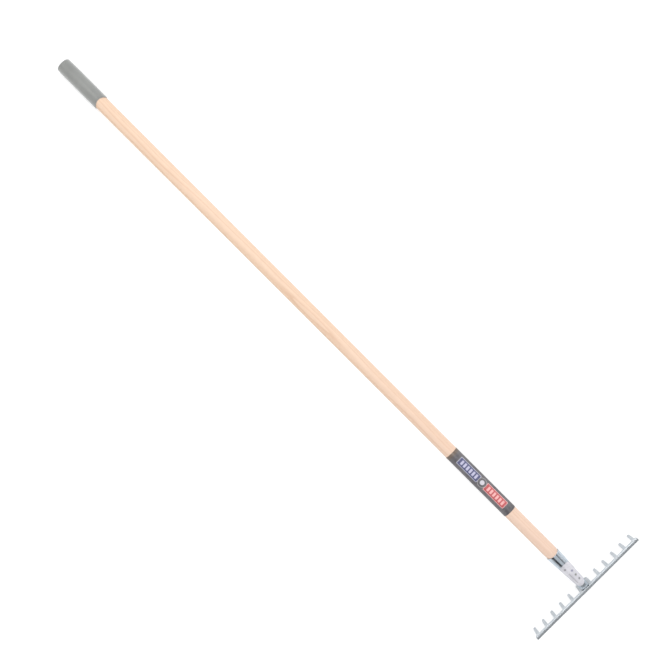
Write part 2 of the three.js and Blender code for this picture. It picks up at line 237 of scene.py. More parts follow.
make_floor()
world = bpy.data.worlds.new("pale_room")
world.use_nodes = True
world.node_tree.nodes["Background"].inputs["Color"].default_value = WORLD_GREY
SCENE.world = world
SCENE.view_settings.view_transform = "Standard"
for row in LIGHT_BOXES:
    light_box(*row)
for row in DARK_CARDS:
    dark_card(*row)
reflected_card("card_head", HEAD_CARD, HEAD_CARD_GREY)

# %% [markdown]
# ## Helpers for shapes
#
# Most pieces are grids of points bent by a rule. `grid_faces` joins the rows, and `new_piece`
# makes the object. The object stays at the origin with its place in its mesh, so patterns that
# read Object coordinates stay put.

# %% Shape helpers


def clean(mesh, join, tiny):
    """Joins points closer than one distance, drops faces smaller than another, turns faces out."""
    work = bmesh.new()
    work.from_mesh(mesh)
    bmesh.ops.remove_doubles(work, verts=work.verts, dist=join)
    bmesh.ops.dissolve_degenerate(work, edges=work.edges, dist=tiny)
    bmesh.ops.recalc_face_normals(work, faces=work.faces)
    work.to_mesh(mesh)
    work.free()


def new_piece(name, points, faces, to_world=None):
    """A mesh object from points and faces, smooth shaded, faces out, moved into place."""
    mesh = bpy.data.meshes.new(name)
    mesh.from_pydata([tuple(p) for p in points], [], faces)
    if to_world is not None:
        mesh.transform(to_world)
    clean(mesh, 1e-6, 1e-7)
    mesh.shade_smooth()
    piece = bpy.data.objects.new(name, mesh)
    SCENE.collection.objects.link(piece)
    return piece


def grid_faces(rows, columns, wrap=False):
    """Quads between rows of points; with wrap the last column joins the first."""
    faces = []
    for r in range(rows - 1):
        for c in range(columns if wrap else columns - 1):
            n = (c + 1) % columns
            faces.append((r * columns + c, r * columns + n, (r + 1) * columns + n, (r + 1) * columns + c))
    return faces


def turned_points(profile, facets, rule=None):
    """Rings of points round the handle's line from [along, radius] pairs."""
    points = []
    for along, radius in profile:
        for i in range(facets):
            round_angle = 2 * math.pi * i / facets
            shift = rule(along, round_angle) if rule else 0.0
            y, z = radius * math.sin(round_angle), radius * math.cos(round_angle)
            points.append((along + shift, y, z))
    return points


def baked(piece):
    """Replaces a piece's mesh by its evaluated mesh and removes its modifiers."""
    graph = bpy.context.evaluated_depsgraph_get()
    mesh = bpy.data.meshes.new_from_object(piece.evaluated_get(graph))
    piece.modifiers.clear()
    piece.data = mesh
    mesh.name = piece.name
    return piece


def soften(piece, width, segments, angle):
    """Rounds the piece's hard edges with a bevel and bakes it."""
    bevel = piece.modifiers.new("rounded_edges", "BEVEL")
    bevel.width = width
    bevel.segments = segments
    bevel.limit_method = "ANGLE"
    bevel.angle_limit = math.radians(angle)
    bevel.harden_normals = False
    return baked(piece)


# %% [markdown]
# ## Helpers for node trees
#
# Shader trees and geometry trees take the same few moves: add a node, fill its inputs with a
# value or a link, and go on. A few short functions keep the recipes readable.

# %% Node helpers


def fill(tree, node, inputs):
    """Gives a node's inputs, by name or index, their values or links."""
    for key, value in inputs.items():
        if isinstance(value, bpy.types.NodeSocket):
            tree.links.new(value, node.inputs[key])
        else:
            node.inputs[key].default_value = value


def add(tree, kind, inputs=None, **settings):
    """Adds a node, applies settings and fills inputs."""
    node = tree.nodes.new(kind)
    for key, value in settings.items():
        setattr(node, key, value)
    fill(tree, node, inputs or {})
    return node


def maths(tree, operation, a, b=0.0, c=0.0):
    """One step of arithmetic; a, b and c are numbers or links."""
    return add(tree, "ShaderNodeMath", {0: a, 1: b, 2: c}, operation=operation).outputs[0]


def mixed(tree, factor, a, b):
    """Mixes two colours, each an RGBA value or a link."""
    return add(tree, "ShaderNodeMix", {0: factor, 6: a, 7: b}, data_type="RGBA").outputs[2]


def remap(tree, value, low, high, to_low=0.0, to_high=1.0, soft=False):
    """Stretches a range of values onto another and holds it there."""
    node = add(tree, "ShaderNodeMapRange", {0: value, 1: low, 2: high, 3: to_low, 4: to_high})
    node.interpolation_type = "SMOOTHSTEP" if soft else "LINEAR"
    return node.outputs[0]


def rgb(red, green, blue):
    """A colour from screen values 0 to 255, made linear for the shader."""
    def linear(v):
        v /= 255.0
        return v / 12.92 if v <= 0.04045 else ((v + 0.055) / 1.055) ** 2.4
    return (linear(red), linear(green), linear(blue), 1.0)


def new_finish(name):
    """An empty material with one shader."""
    material = bpy.data.materials.new(name)
    material.use_nodes = True
    tree = material.node_tree
    tree.nodes.clear()
    shader = tree.nodes.new("ShaderNodeBsdfPrincipled")
    output = tree.nodes.new("ShaderNodeOutputMaterial")
    tree.links.new(shader.outputs["BSDF"], output.inputs["Surface"])
    return material, tree, shader


def scaled(tree, vector, factors):
    """A position multiplied by three factors, to squash or stretch the pattern that reads it."""
    return add(tree, "ShaderNodeVectorMath", {0: vector, 1: factors}, operation="MULTIPLY").outputs[0]


def close_tree(tree, end, copies, material):
    """Makes a geometry tree's copies real, gives them their material and hands them out."""
    real = add(tree, "GeometryNodeRealizeInstances", {0: copies}).outputs[0]
    dressed = add(tree, "GeometryNodeSetMaterial", {"Geometry": real, "Material": material}).outputs[0]
    tree.links.new(dressed, end.inputs[0])
    return tree


def handle_place(tree):
    """Object coordinates turned so that X runs along the handle from its grip end."""
    turned = Matrix.Rotation(SLOPE, 3, "Y")
    shift = -(turned @ HANDLE_START)
    inputs = {1: tuple(shift), 2: (0, SLOPE, 0)}
    place = tree.nodes.new("ShaderNodeTexCoord").outputs["Object"]
    return add(tree, "ShaderNodeMapping", {0: place, **inputs}).outputs[0]


def noise(tree, vector, scale, detail=3.0, roughness=0.5):
    """Fractal noise from 0 to 1."""
    inputs = {"Vector": vector, "Scale": scale, "Detail": detail, "Roughness": roughness}
    return add(tree, "ShaderNodeTexNoise", inputs).outputs["Fac"]


def bumped(tree, shader, height, strength, distance):
    """Feeds a height into the shader's normal."""
    inputs = {"Strength": strength, "Distance": distance, "Height": height}
    fill(tree, shader, {"Normal": add(tree, "ShaderNodeBump", inputs).outputs[0]})


def geometry_tree(tree_name, sizes):
    """An empty geometry node tree whose inputs are a geometry and the sizes, named by kind."""
    tree = bpy.data.node_groups.new(tree_name, "GeometryNodeTree")
    tree.interface.new_socket("Geometry", in_out="INPUT", socket_type="NodeSocketGeometry")
    tree.interface.new_socket("Geometry", in_out="OUTPUT", socket_type="NodeSocketGeometry")
    for kind, names in sizes.items():
        for name in names:
            tree.interface.new_socket(name, in_out="INPUT", socket_type="NodeSocket" + kind)
    start = tree.nodes.new("NodeGroupInput")
    end = tree.nodes.new("NodeGroupOutput")
    return tree, start.outputs, end


def grow(piece, tree, values):
    """Runs a geometry tree on a piece with the given sizes and keeps the result as a plain mesh."""
    modifier = piece.modifiers.new(tree.name, "NODES")
    modifier.node_group = tree
    names = {s.name: s.identifier for s in tree.interface.items_tree if s.in_out == "INPUT"}
    for name, value in values.items():
        modifier[names[name]] = value
    return baked(piece)


# %% [markdown]
# ## Ash wood
#
# A rake handle is turned from straight-grained ash: pale peach wood with darker, porous lines
# where each spring's growth began. Rings round a pith that lies outside the shaft give lines
# that run with the handle and close into long flames now and then.
# The rings are a distance from that pith, bent by noise stretched along the wood, so they fit
# a real plank better than a plain stripe pattern would.

# %% Ash finish
PITH = (0.0, 0.011, -0.034)
RING_WIDTH = 0.0031
WOOD_PALE = rgb(236, 208, 185)
WOOD_PEACH = rgb(230, 199, 173)
WOOD_PINK = rgb(236, 207, 189)
WOOD_LINE = rgb(214, 174, 142)
WOOD_PORE = rgb(186, 144, 112)


def ash_finish():
    material, tree, shader = new_finish("ash_wood")
    place = handle_place(tree)
    sway = noise(tree, scaled(tree, place, (2.2, 24, 24)), 1.0, 2.0)
    apart = add(tree, "ShaderNodeVectorMath", {0: place, 1: PITH}, operation="SUBTRACT").outputs[0]
    axes_of = add(tree, "ShaderNodeSeparateXYZ", {0: apart}).outputs
    square = maths(tree, "MULTIPLY", axes_of[2], axes_of[2])
    square = maths(tree, "MULTIPLY_ADD", axes_of[1], axes_of[1], square)
    reach = maths(tree, "MULTIPLY_ADD", sway, 0.012, maths(tree, "SQRT", square))
    ring = maths(tree, "FRACT", maths(tree, "DIVIDE", reach, RING_WIDTH))
    line = maths(tree, "POWER", ring, 3.2)
    broad = noise(tree, scaled(tree, place, (1.6, 40, 40)), 1.0, 3.0)
    pore = noise(tree, scaled(tree, place, (55, 2600, 2600)), 1.0, 1.0)
    pore = remap(tree, pore, 0.62, 0.74)
    fibre = noise(tree, scaled(tree, place, (14, 900, 900)), 1.0, 3.0, 0.6)
    ground = mixed(tree, remap(tree, broad, 0.35, 0.65), WOOD_PALE, WOOD_PEACH)
    ground = mixed(tree, remap(tree, axes_of[0], 0.7, 1.5), ground, WOOD_PINK)
    ringed = mixed(tree, maths(tree, "MULTIPLY", line, 0.55), ground, WOOD_LINE)
    pore_share = maths(tree, "MULTIPLY", pore, maths(tree, "MULTIPLY_ADD", line, 0.5, 0.10))
    pored = mixed(tree, pore_share, ringed, WOOD_PORE)
    fibred = mixed(tree, remap(tree, fibre, 0.4, 0.7, 0.0, 0.14), pored, WOOD_LINE)
    rough = maths(tree, "MULTIPLY_ADD", fibre, 0.18, maths(tree, "MULTIPLY_ADD", line, 0.10, 0.40))
    fill(tree, shader, {"Base Color": fibred, "Roughness": rough, "Specular IOR Level": 0.35})
    height = maths(tree, "SUBTRACT", maths(tree, "MULTIPLY", fibre, 0.4), maths(tree, "MULTIPLY", pore, 0.8))
    bumped(tree, shader, height, 0.35, 0.00012)
    return material


ASH = ash_finish()
print("finish:", ASH.name, len(ASH.node_tree.nodes), "nodes")

# %% [markdown]
# ## Handle
#
# The shaft is one long turning: a cylinder, a short run-in and a taper that fits the socket.
# A turning is a circle swept along a line with a changing radius, which is exactly what Curve to
# Mesh does, so a geometry tree with named sizes makes it. A lathe modifier would do the same,
# but the tree lets us change the taper without touching the outline.

# %% Turned handle
HANDLE_SIZES = {
    "Float": (
        "Start", "End", "Shaft Radius", "Mouth", "Mouth Radius", "End Radius", "Run In", "Chamfer",
    ),
    "Material": ("Finish",),
}
HANDLE_RINGS = 640
HANDLE_FACETS = 96


def turned_handle_tree():
    tree, size, end = geometry_tree("turned_handle", HANDLE_SIZES)
    start_point = add(tree, "ShaderNodeCombineXYZ", {0: size["Start"]}).outputs[0]
    end_point = add(tree, "ShaderNodeCombineXYZ", {0: size["End"]}).outputs[0]
    line = add(tree, "GeometryNodeCurvePrimitiveLine", {"Start": start_point, "End": end_point}).outputs[0]
    rings = add(tree, "GeometryNodeResampleCurve", {"Curve": line, "Count": HANDLE_RINGS}).outputs[0]
    position = add(tree, "GeometryNodeInputPosition").outputs[0]
    x = add(tree, "ShaderNodeSeparateXYZ", {0: position}).outputs[0]
    run_from = maths(tree, "SUBTRACT", size["Mouth"], size["Run In"])
    run_in = remap(tree, x, run_from, size["Mouth"], size["Shaft Radius"], size["Mouth Radius"])
    taper = remap(tree, x, size["Mouth"], size["End"], size["Mouth Radius"], size["End Radius"])
    radius = maths(tree, "SUBTRACT", maths(tree, "ADD", run_in, taper), size["Mouth Radius"])
    to_start = maths(tree, "SUBTRACT", x, size["Start"])
    to_end = maths(tree, "SUBTRACT", size["End"], x)
    nearest = maths(tree, "MINIMUM", to_start, to_end)
    cut = maths(tree, "MAXIMUM", maths(tree, "SUBTRACT", size["Chamfer"], nearest), 0.0)
    radius = maths(tree, "SUBTRACT", radius, cut)
    ring = {"Resolution": HANDLE_FACETS, "Radius": 1.0}
    circle = add(tree, "GeometryNodeCurvePrimitiveCircle", ring).outputs[0]
    sweep = {"Curve": rings, "Profile Curve": circle, "Scale": radius, "Fill Caps": True}
    swept = add(tree, "GeometryNodeCurveToMesh", sweep).outputs[0]
    return close_tree(tree, end, swept, size["Finish"])


SOCKET_WALL = 1.5 * MM
FIT_GAP = 0.3 * MM
handle_first, handle_last, _ = span("handle")
mouth_first, _, mouth_radius = span("socket")
mouth_radius -= 0.05 * MM
label_radius = span("handle_label")[2]
shaft_radius = label_radius - 0.5 * MM
SOCKET_TAPER = 0.0625
mouth_bore = mouth_radius - SOCKET_WALL - FIT_GAP
thin_end = mouth_bore - SOCKET_TAPER * (handle_last - mouth_first)

handle = new_piece("ash_handle", [(0, 0, 0)], [])
grow(handle, turned_handle_tree(), {
    "Start": handle_first, "End": handle_last, "Shaft Radius": shaft_radius,
    "Mouth": mouth_first, "Mouth Radius": mouth_bore, "End Radius": thin_end,
    "Run In": 8 * MM, "Chamfer": 1.2 * MM, "Finish": ASH,
})
handle.data.transform(TO_WORLD)
handle.data.shade_smooth()
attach(handle, "root")
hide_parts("handle")
print("handle:", len(handle.data.polygons), "faces")

# %% [markdown]
# ## Grip sleeve
#
# The top of the handle wears a soft grey sleeve with a closed end. Its open rim is cut in two
# shallow scallops, it swells slightly where the hand sits, and it has a rolled lip and a fine
# mould line on each side. A turned profile gives the body, and a rule that slides the last rings
# along the handle gives the scallops, so the wall keeps its thickness there.

# %% Grip shape
GRIP_CORNER = 4.5 * MM
GRIP_WALL = 3 * MM
GRIP_SCALLOP = 2.7 * MM
SCALLOP_REACH = 30 * MM
MOULD_LINE = 0.14 * MM
GRIP_SWELL = 0.40 * MM
GRIP_CLEAR = 0.06 * MM
LIP_LENGTH = 2.2 * MM
LIP_ROUND = 0.8 * MM
INNER_STEP = 40 * MM
grip_radius = span("end_grip")[2]
grip_reach = span("end_grip")[1] - GRIP_SCALLOP


def grip_profile():
    rim = grip_radius - 0.35 * MM
    shoulder = rim - 0.3 * MM
    profile = [(0.0, 0.0), (0.0, 0.5 * (shoulder - GRIP_CORNER))]
    for i in range(13):
        bend = math.pi / 2 * i / 12
        profile.append((GRIP_CORNER * (1 - math.cos(bend)), shoulder - GRIP_CORNER * (1 - math.sin(bend))))
    body = grip_reach - GRIP_CORNER - LIP_LENGTH
    for i in range(1, 61):
        part = i / 60
        swell = math.sin(math.pi * part ** 0.72) * GRIP_SWELL
        profile.append((GRIP_CORNER + body * part, shoulder + (rim - shoulder) * part + swell))
    groove = grip_reach - LIP_LENGTH
    profile.append((groove + 0.25 * MM, rim - 0.28 * MM))
    profile.append((groove + 0.7 * MM, rim - 0.05 * MM))
    for i in range(7):
        bend = math.pi / 2 * i / 6
        back, down = LIP_ROUND * (1 - math.sin(bend)), LIP_ROUND * (1 - math.cos(bend))
        profile.append((grip_reach - back, rim - down))
    profile.append((grip_reach, shaft_radius + 0.35 * MM))
    for along in (grip_reach - 0.3 * MM, grip_reach - INNER_STEP, GRIP_WALL):
        profile.append((along, shaft_radius + GRIP_CLEAR))
    profile.append((GRIP_WALL, 0.0))
    return profile


def scallop(along, round_angle):
    near = min(max((along - grip_reach + SCALLOP_REACH) / SCALLOP_REACH, 0), 1)
    return -GRIP_SCALLOP * near * near * (3 - 2 * near) * math.cos(2 * round_angle)


GRIP_FACETS = 128
grip_points = turned_points(grip_profile(), GRIP_FACETS, scallop)
raised = []
for x, y, z in grip_points:
    side = math.atan2(abs(z), abs(y))
    outer = math.hypot(y, z) > shaft_radius + 0.9 * MM
    lift = MOULD_LINE * math.exp(-(side / 0.028) ** 2) if outer else 0.0
    scale = 1 + lift / max(math.hypot(y, z), 1e-6)
    raised.append((x, y * scale, z * scale))
grip = new_piece("grip_sleeve", raised, grid_faces(len(raised) // GRIP_FACETS, GRIP_FACETS, True), TO_WORLD)
print("grip:", len(grip.data.polygons), "faces, to", round(grip_reach / MM, 1), "mm")

# %% [markdown]
# ## Soft grey plastic
#
# A soft moulded grip is matt, with a fine grain from the mould and slightly polished places
# where hands have been. Two layers of noise do it: a tiny one for the grain, in the bump and the
# roughness, and a slow one for the polish and a little dust-like paleness.

# %% Grip finish
GRIP_GREY = rgb(128, 129, 126)
GRIP_LIGHT = rgb(142, 143, 140)


def grip_finish():
    material, tree, shader = new_finish("grip_plastic")
    place = handle_place(tree)
    slow = noise(tree, place, 26.0, 4.0, 0.6)
    grain = noise(tree, place, 1900.0, 2.0, 0.6)
    streak = noise(tree, scaled(tree, place, (14, 160, 160)), 1.0, 3.0)
    colour = mixed(tree, remap(tree, slow, 0.35, 0.7, 0.0, 0.6), GRIP_GREY, GRIP_LIGHT)
    colour = mixed(tree, remap(tree, streak, 0.5, 0.75, 0.0, 0.25), colour, rgb(156, 157, 151))
    rough = maths(tree, "MULTIPLY_ADD", grain, 0.16, remap(tree, slow, 0.3, 0.7, 0.52, 0.40))
    fill(tree, shader, {"Base Color": colour, "Roughness": rough, "Specular IOR Level": 0.5})
    fill(tree, shader, {"Sheen Weight": 0.9, "Sheen Roughness": 0.5})
    bumped(tree, shader, grain, 0.5, 0.00009)
    return material


grip.data.materials.append(grip_finish())
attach(grip, "root")
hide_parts("end_grip")

# %% [markdown]
# ## Moulded ring near the rim
#
# A small raised ring on the upper side of the sleeve, a plain moulded detail. It is a thin torus
# pressed onto the curved wall, built as a grid of two angles whose last row meets its first.

# %% Moulded ring
RING_FROM_RIM = 21 * MM
RING_RADIUS = 3.1 * MM
RING_THICK = 0.5 * MM
RING_ROWS = 40
RING_COLUMNS = 10


def ring_points():
    wall = grip_radius - 0.5 * MM
    middle = grip_reach - RING_FROM_RIM
    points = []
    for i in range(RING_ROWS + 1):
        a = 2 * math.pi * (i % RING_ROWS) / RING_ROWS
        for j in range(RING_COLUMNS):
            b = 2 * math.pi * j / RING_COLUMNS
            out = RING_RADIUS + RING_THICK * math.cos(b)
            x, y = out * math.cos(a), out * math.sin(a)
            radius = wall + RING_THICK * (0.15 + 0.8 * math.sin(b))
            points.append((middle + x, radius * math.sin(y / wall), radius * math.cos(y / wall)))
    return points


ring_faces = grid_faces(RING_ROWS + 1, RING_COLUMNS, True)
moulded_ring = new_piece("moulded_ring", ring_points(), ring_faces, TO_WORLD)
moulded_ring.data.materials.append(grip.data.materials[0])
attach(moulded_ring, "root")
print("moulded ring:", len(moulded_ring.data.polygons), "faces")

# %% [markdown]
# ## Printed sleeve
#
# A printed plastic film is shrunk round the handle: charcoal, with a blue panel, a silver disc
# and a red panel. The panels hold plain bars, not words. The print lives on a UV map that we
# write ourselves: U runs along the sleeve and V round it, so the pattern follows the surface.

# %% Sleeve shape
FILM_WALL = 0.3 * MM
FILM_COLUMNS = 120
FILM_ROWS = 48
label_first, label_last, _ = span("handle_label")


def map_print(piece, first, length, around):
    """Writes a UV map from the handle's own directions: U along, V round from the underside."""
    layer = piece.data.uv_layers.new(name="print")
    for face in piece.data.polygons:
        turns = []
        for corner in face.loop_indices:
            p = TO_HANDLE @ piece.data.vertices[piece.data.loops[corner].vertex_index].co
            turns.append((corner, (p.x - first) / length, math.atan2(p.y, p.z) / around))
        spread = max(t[2] for t in turns) - min(t[2] for t in turns)
        for corner, u, v in turns:
            if spread > math.pi / around and v < 0:
                v += 2 * math.pi / around
            layer.data[corner].uv = (u, v + 0.5)


def film_profile():
    inner, outer = label_radius - FILM_WALL - 0.1 * MM, label_radius
    length = label_last - label_first
    profile = [(label_first, inner), (label_first + 0.05 * MM, outer - 0.12 * MM)]
    for i in range(FILM_ROWS + 1):
        profile.append((label_first + 0.15 * MM + (length - 0.3 * MM) * i / FILM_ROWS, outer))
    profile += [(label_last - 0.05 * MM, outer - 0.12 * MM), (label_last, inner)]
    return profile


rows = film_profile()
film_points = turned_points(rows, FILM_COLUMNS)
wrinkled = []
for x, y, z in film_points:
    a = math.atan2(y, z)
    edge = min(x - label_first, label_last - x) / MM
    ripple = 0.05 * MM * math.sin(9 * a + 2.0 * math.sin(x * 90)) * math.exp(-edge / 5.0)
    scale = 1 - abs(ripple) / math.hypot(y, z)
    wrinkled.append((x, y * scale, z * scale))
film_faces = grid_faces(len(rows), FILM_COLUMNS, True)
last_ring = (len(rows) - 1) * FILM_COLUMNS
for c in range(FILM_COLUMNS):
    after = (c + 1) % FILM_COLUMNS
    film_faces.append((c, last_ring + c, last_ring + after, after))
film = new_piece("printed_sleeve", wrinkled, film_faces, TO_WORLD)
map_print(film, label_first, label_last - label_first, 2 * math.pi)
print("printed sleeve:", len(film.data.polygons), "faces")

# %% [markdown]
# ## Printing with arithmetic
#
# Each printed shape is a mask from 0 to 1 made from U and V in millimetres: a rounded box, a
# frame round a box, or a disc. Masks mix one ink over the next, as a press does, and the ink
# edge stays sharp at any size, which an image would not.

# %% Print helpers


def print_place(tree, length, girth):
    """Millimetres along a print and round it from its middle line, read from its UV map."""
    uv = add(tree, "ShaderNodeUVMap", uv_map="print").outputs[0]
    parts = add(tree, "ShaderNodeSeparateXYZ", {0: uv}).outputs
    x = maths(tree, "MULTIPLY", parts[0], length)
    return x, maths(tree, "MULTIPLY", maths(tree, "SUBTRACT", parts[1], 0.5), girth)


def box_mask(tree, x, y, middle, half, corner=0.0, soft=0.12):
    """1 inside a box with rounded corners; sizes in the units of x and y."""
    dx = maths(tree, "ABSOLUTE", maths(tree, "SUBTRACT", x, middle[0]))
    dx = maths(tree, "SUBTRACT", dx, half[0] - corner)
    dy = maths(tree, "ABSOLUTE", maths(tree, "SUBTRACT", y, middle[1]))
    dy = maths(tree, "SUBTRACT", dy, half[1] - corner)
    px, py = maths(tree, "MAXIMUM", dx, 0.0), maths(tree, "MAXIMUM", dy, 0.0)
    away = maths(tree, "SQRT", maths(tree, "MULTIPLY_ADD", px, px, maths(tree, "MULTIPLY", py, py)))
    inside = maths(tree, "MINIMUM", maths(tree, "MAXIMUM", dx, dy), 0.0)
    distance = maths(tree, "SUBTRACT", maths(tree, "ADD", away, inside), corner)
    return remap(tree, distance, soft, -soft)


def disc_mask(tree, x, y, middle, radius, soft=0.12):
    """1 inside a circle."""
    dx = maths(tree, "SUBTRACT", x, middle[0])
    dy = maths(tree, "SUBTRACT", y, middle[1])
    away = maths(tree, "SQRT", maths(tree, "MULTIPLY_ADD", dx, dx, maths(tree, "MULTIPLY", dy, dy)))
    return remap(tree, away, radius + soft, radius - soft)


def bars_mask(tree, x, y, first, last, pitch, share, middle_y, half_y):
    """A row of upright bars between two places, each a share of the pitch wide."""
    step = maths(tree, "FRACT", maths(tree, "DIVIDE", maths(tree, "SUBTRACT", x, first), pitch))
    off_middle = maths(tree, "ABSOLUTE", maths(tree, "SUBTRACT", step, 0.5))
    bar = remap(tree, off_middle, share / 2 + 0.03, share / 2 - 0.03)
    window = box_mask(tree, x, y, ((first + last) / 2, middle_y), ((last - first) / 2, half_y))
    return maths(tree, "MULTIPLY", bar, window)


# %% [markdown]
# ## Film finish
#
# The film is glossy, so it gets a low roughness with fine scuffs, and a slight orange-peel bump
# from shrinking onto wood. The charcoal ink turns brownish at the grip end, where it is thin.

# %% Film finish
FILM_LENGTH = (label_last - label_first) / MM
FILM_GIRTH = 2 * math.pi * label_radius / MM
PANEL_CENTRE = 1.6
PANEL_HALF = 9.2
PANEL_LONG = 28.8
FRAME_WIDE = 1.3
# middle of each panel, start of its bars, inks of its frame, field and bars
PANELS = (
    (48.6, 25.0, rgb(186, 186, 202), rgb(84, 86, 122), rgb(200, 198, 222)),
    (124.6, 101.0, rgb(228, 176, 176), rgb(192, 90, 92), rgb(244, 186, 184)),
)
DISC_MIDDLE = 86.5
DISCS = ((10.5, rgb(170, 166, 166)), (9.4, rgb(104, 102, 106)), (5.0, rgb(206, 202, 210)))


def film_finish():
    material, tree, shader = new_finish("printed_film")
    x, y = print_place(tree, FILM_LENGTH, FILM_GIRTH)
    place = handle_place(tree)
    wear_and_painted_shade = noise(tree, place, 60.0, 4.0, 0.6)
    charcoal = mixed(tree, remap(tree, wear_and_painted_shade, 0.35, 0.7), rgb(90, 87, 91), rgb(114, 111, 113))
    brown = mixed(tree, 0.7, charcoal, rgb(118, 98, 78))
    ink = mixed(tree, remap(tree, x, 11.0, 2.0, soft=True), charcoal, brown)
    for middle, bars_from, frame_ink, field_ink, bar_ink in PANELS:
        centre = (middle, PANEL_CENTRE)
        ink = mixed(tree, box_mask(tree, x, y, centre, (PANEL_LONG, PANEL_HALF), 1.6), ink, frame_ink)
        field = (PANEL_LONG - FRAME_WIDE, PANEL_HALF - FRAME_WIDE)
        ink = mixed(tree, box_mask(tree, x, y, centre, field, 1.0), ink, field_ink)
        bars = bars_mask(tree, x, y, bars_from, bars_from + 48.0, 8.0, 0.62, PANEL_CENTRE, 5.0)
        ink = mixed(tree, maths(tree, "MULTIPLY", bars, 0.85), ink, bar_ink)
    for radius, disc_ink in DISCS:
        ink = mixed(tree, disc_mask(tree, x, y, (DISC_MIDDLE, PANEL_CENTRE), radius), ink, disc_ink)
    scuff = noise(tree, scaled(tree, place, (90, 900, 900)), 1.0, 2.0)
    rough = remap(tree, scuff, 0.4, 0.75, 0.26, 0.46)
    fill(tree, shader, {"Base Color": ink, "Roughness": rough, "Specular IOR Level": 0.5})
    bumped(tree, shader, noise(tree, place, 420.0, 2.0), 0.12, 0.0001)
    return material


film.data.materials.append(film_finish())
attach(film, "root")
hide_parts("handle_label")

# %% [markdown]
# ## Socket
#
# The socket starts as a flat steel blank. It is rolled into a cone that leaves a seam
# underneath, its sides are cut back towards the neck, and its tongue is bent down onto the head.
# So we model it the same way: a flat grid is bent by a rule that knows the crown line and how
# far each cross-section is curled. That gives a true sheet with two faces and an even wall.

# %% Socket rule
CONE_FALL = math.atan(SOCKET_TAPER)
CONE_LENGTH = 87.7 * MM
BEND_RADIUS = 11 * MM
BEND_TO = math.pi / 2 + SLOPE
BEND_LENGTH = BEND_RADIUS * (BEND_TO - CONE_FALL)
TONGUE_LENGTH = 5 * MM
BLANK_LENGTH = CONE_LENGTH + BEND_LENGTH + TONGUE_LENGTH
TONGUE_HALF = 8 * MM
TONGUE_CURL = 400 * MM
NECK_CUT = 60 * MM
NECK_WRAP = math.radians(71.5)
SEAM_HALF = 0.7 * MM
MOUTH_ARCH = 1.5 * MM
ARCH_REACH = 22 * MM
FLATTENED_BY = 0.95


def smooth_step(value, low, high):
    t = min(max((value - low) / (high - low), 0.0), 1.0)
    return t * t * (3 - 2 * t)


def blend_to(a, b, t):
    return a + (b - a) * t


def crown_at(along):
    """Place and fall of the socket's crown line, counted from the mouth."""
    straight = min(along, CONE_LENGTH)
    in_bend = min(max(along - CONE_LENGTH, 0.0), BEND_LENGTH)
    fall = CONE_FALL + in_bend / BEND_RADIUS
    past = max(0.0, along - CONE_LENGTH - BEND_LENGTH)
    x = straight * math.cos(CONE_FALL) + BEND_RADIUS * (math.sin(fall) - math.sin(CONE_FALL))
    z = -straight * math.sin(CONE_FALL) - BEND_RADIUS * (math.cos(CONE_FALL) - math.cos(fall))
    return mouth_first + x + past * math.cos(fall), mouth_radius + z - past * math.sin(fall), fall


def section_at(along):
    """Curl radius and half width of the blank at a place along the crown line."""
    cone = mouth_radius - SOCKET_TAPER * min(along, CONE_LENGTH) * math.cos(CONE_FALL)
    if along <= CONE_LENGTH:
        wrap = blend_to(math.pi - SEAM_HALF / cone, NECK_WRAP, smooth_step(along, NECK_CUT, CONE_LENGTH))
        return cone, cone * wrap
    flat = min(1.0, (along - CONE_LENGTH) / (FLATTENED_BY * BEND_LENGTH))
    curl = 1 / blend_to(1 / cone, 1 / TONGUE_CURL, flat * flat)
    return curl, blend_to(cone * NECK_WRAP, TONGUE_HALF, flat)


def rolled(along, around, lift):
    """A point of the rolled sheet: along the crown, round its section, lifted off its outside."""
    x, z, fall = crown_at(along)
    curl, _ = section_at(along)
    angle = around / curl
    out = (curl + lift) * math.cos(angle) - curl
    tilt = fall * smooth_step(along, NECK_CUT, CONE_LENGTH)
    return (x + out * math.sin(tilt), (curl + lift) * math.sin(angle), z + out * math.cos(tilt))


print("socket blank:", round(BLANK_LENGTH / MM, 1), "mm long")

# %% Socket shape
SOCKET_ROWS = 150
SOCKET_COLUMNS = 97
SOCKET_BEVEL = 0.3 * MM


def rolled_grid(lift):
    points = []
    for r in range(SOCKET_ROWS):
        along = BLANK_LENGTH * r / (SOCKET_ROWS - 1)
        half = section_at(along)[1]
        for c in range(SOCKET_COLUMNS):
            across = 2 * c / (SOCKET_COLUMNS - 1) - 1
            arch = MOUTH_ARCH * (1 + math.cos(2 * across * math.pi)) * max(0.0, 1 - along / ARCH_REACH)
            around = across * half
            points.append(rolled(along + arch, around, lift))
    return points


def closed_sheet(top, bottom, rows_count, columns):
    """Joins two matching grids into one closed sheet."""
    count = len(top)
    faces = grid_faces(rows_count, columns)
    faces += [tuple(count + i for i in reversed(f)) for f in grid_faces(rows_count, columns)]
    rim = list(range(columns))
    rim += [r * columns + columns - 1 for r in range(1, rows_count)]
    rim += [(rows_count - 1) * columns + c for c in range(columns - 2, -1, -1)]
    rim += [r * columns for r in range(rows_count - 2, 0, -1)]
    for i, a in enumerate(rim):
        b = rim[(i + 1) % len(rim)]
        faces.append((a, b, count + b, count + a))
    return top + bottom, faces


sheet_points, sheet_faces = closed_sheet(
    rolled_grid(0.0), rolled_grid(-SOCKET_WALL), SOCKET_ROWS, SOCKET_COLUMNS
)
socket = new_piece("rolled_socket", sheet_points, sheet_faces, TO_WORLD)
soften(socket, SOCKET_BEVEL, 2, 50)
socket.data.shade_smooth()
print("socket:", len(socket.data.polygons), "faces")

